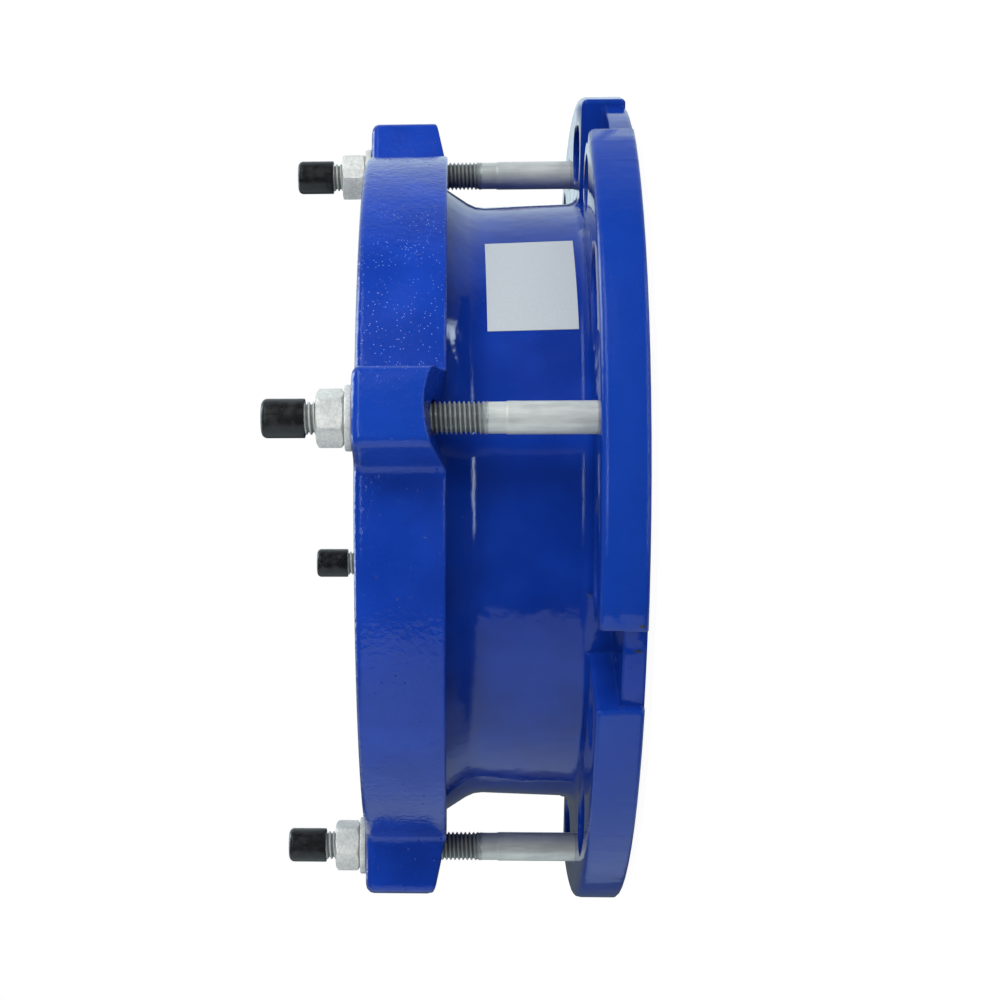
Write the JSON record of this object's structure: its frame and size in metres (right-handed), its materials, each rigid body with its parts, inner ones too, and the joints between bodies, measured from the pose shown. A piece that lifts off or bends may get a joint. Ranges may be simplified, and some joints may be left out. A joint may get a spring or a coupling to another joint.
{
  "type": "flange adaptor coupling",
  "caption": "Cast iron flange adaptor coupling: slotted flange, flared socket, rubber wedge gasket and bolted follower ring with capped bolts.",
  "frame": {"origin": "centre of the raised face at the foot of the flange, on the pipe axis", "axes": "+Z along the pipe axis from the flange to the follower ring; +X through a clamp bolt"},
  "size_m": [0.34, 0.34, 0.1414],
  "materials": {
    "epoxy": "glossy blue epoxy coating over a cast surface, with light orange peel and small specks",
    "gasket_rubber": "matt black rubber",
    "zinc_steel": "dull zinc-coated steel with fine specks",
    "cap_plastic": "black satin plastic"
  },
  "bodies": {
    "base": {"flange_body": "epoxy", "gasket": "gasket_rubber", "bolt_1": "zinc_steel", "bolt_2": "zinc_steel", "bolt_3": "zinc_steel", "bolt_4": "zinc_steel"},
    "follower": {"follower_ring": "epoxy", "washer_1": "zinc_steel", "washer_2": "zinc_steel", "washer_3": "zinc_steel", "washer_4": "zinc_steel"},
    "nut_1": {"nut_1": "zinc_steel"},
    "cap_1": {"cap_1": "cap_plastic"},
    "nut_2": {"nut_2": "zinc_steel"},
    "cap_2": {"cap_2": "cap_plastic"},
    "nut_3": {"nut_3": "zinc_steel"},
    "cap_3": {"cap_3": "cap_plastic"},
    "nut_4": {"nut_4": "zinc_steel"},
    "cap_4": {"cap_4": "cap_plastic"}
  },
  "joints": [
    {"name": "follower_slide", "type": "slide", "parent": "base", "child": "follower", "axis": [0, 0, -1], "range_m": [0, 0.006], "deforming": ["gasket"]},
    {"name": "nut_1_turn", "type": "hinge", "parent": "follower", "child": "nut_1", "pos_m": [0.1488, 0, 0.1163], "axis": [0, 0, -1], "range_deg": [-2, 1237]},
    {"name": "nut_2_turn", "type": "hinge", "parent": "follower", "child": "nut_2", "pos_m": [0, 0.1488, 0.1163], "axis": [0, 0, -1], "range_deg": [-2, 1237]},
    {"name": "nut_3_turn", "type": "hinge", "parent": "follower", "child": "nut_3", "pos_m": [-0.1488, 0, 0.1163], "axis": [0, 0, -1], "range_deg": [-2, 1237]},
    {"name": "nut_4_turn", "type": "hinge", "parent": "follower", "child": "nut_4", "pos_m": [0, -0.1488, 0.1163], "axis": [0, 0, -1], "range_deg": [-2, 1237]},
    {"name": "cap_1_pull", "type": "slide", "parent": "base", "child": "cap_1", "axis": [0, 0, 1], "range_m": [0, 0.025]},
    {"name": "cap_2_pull", "type": "slide", "parent": "base", "child": "cap_2", "axis": [0, 0, 1], "range_m": [0, 0.025]},
    {"name": "cap_3_pull", "type": "slide", "parent": "base", "child": "cap_3", "axis": [0, 0, 1], "range_m": [0, 0.025]},
    {"name": "cap_4_pull", "type": "slide", "parent": "base", "child": "cap_4", "axis": [0, 0, 1], "range_m": [0, 0.025]}
  ],
  "couplings": [
    {"joint": "nut_1_turn", "follows": "follower_slide", "rad_per_m": 3590.4},
    {"joint": "nut_2_turn", "follows": "follower_slide", "rad_per_m": 3590.4},
    {"joint": "nut_3_turn", "follows": "follower_slide", "rad_per_m": 3590.4},
    {"joint": "nut_4_turn", "follows": "follower_slide", "rad_per_m": 3590.4}
  ]
}
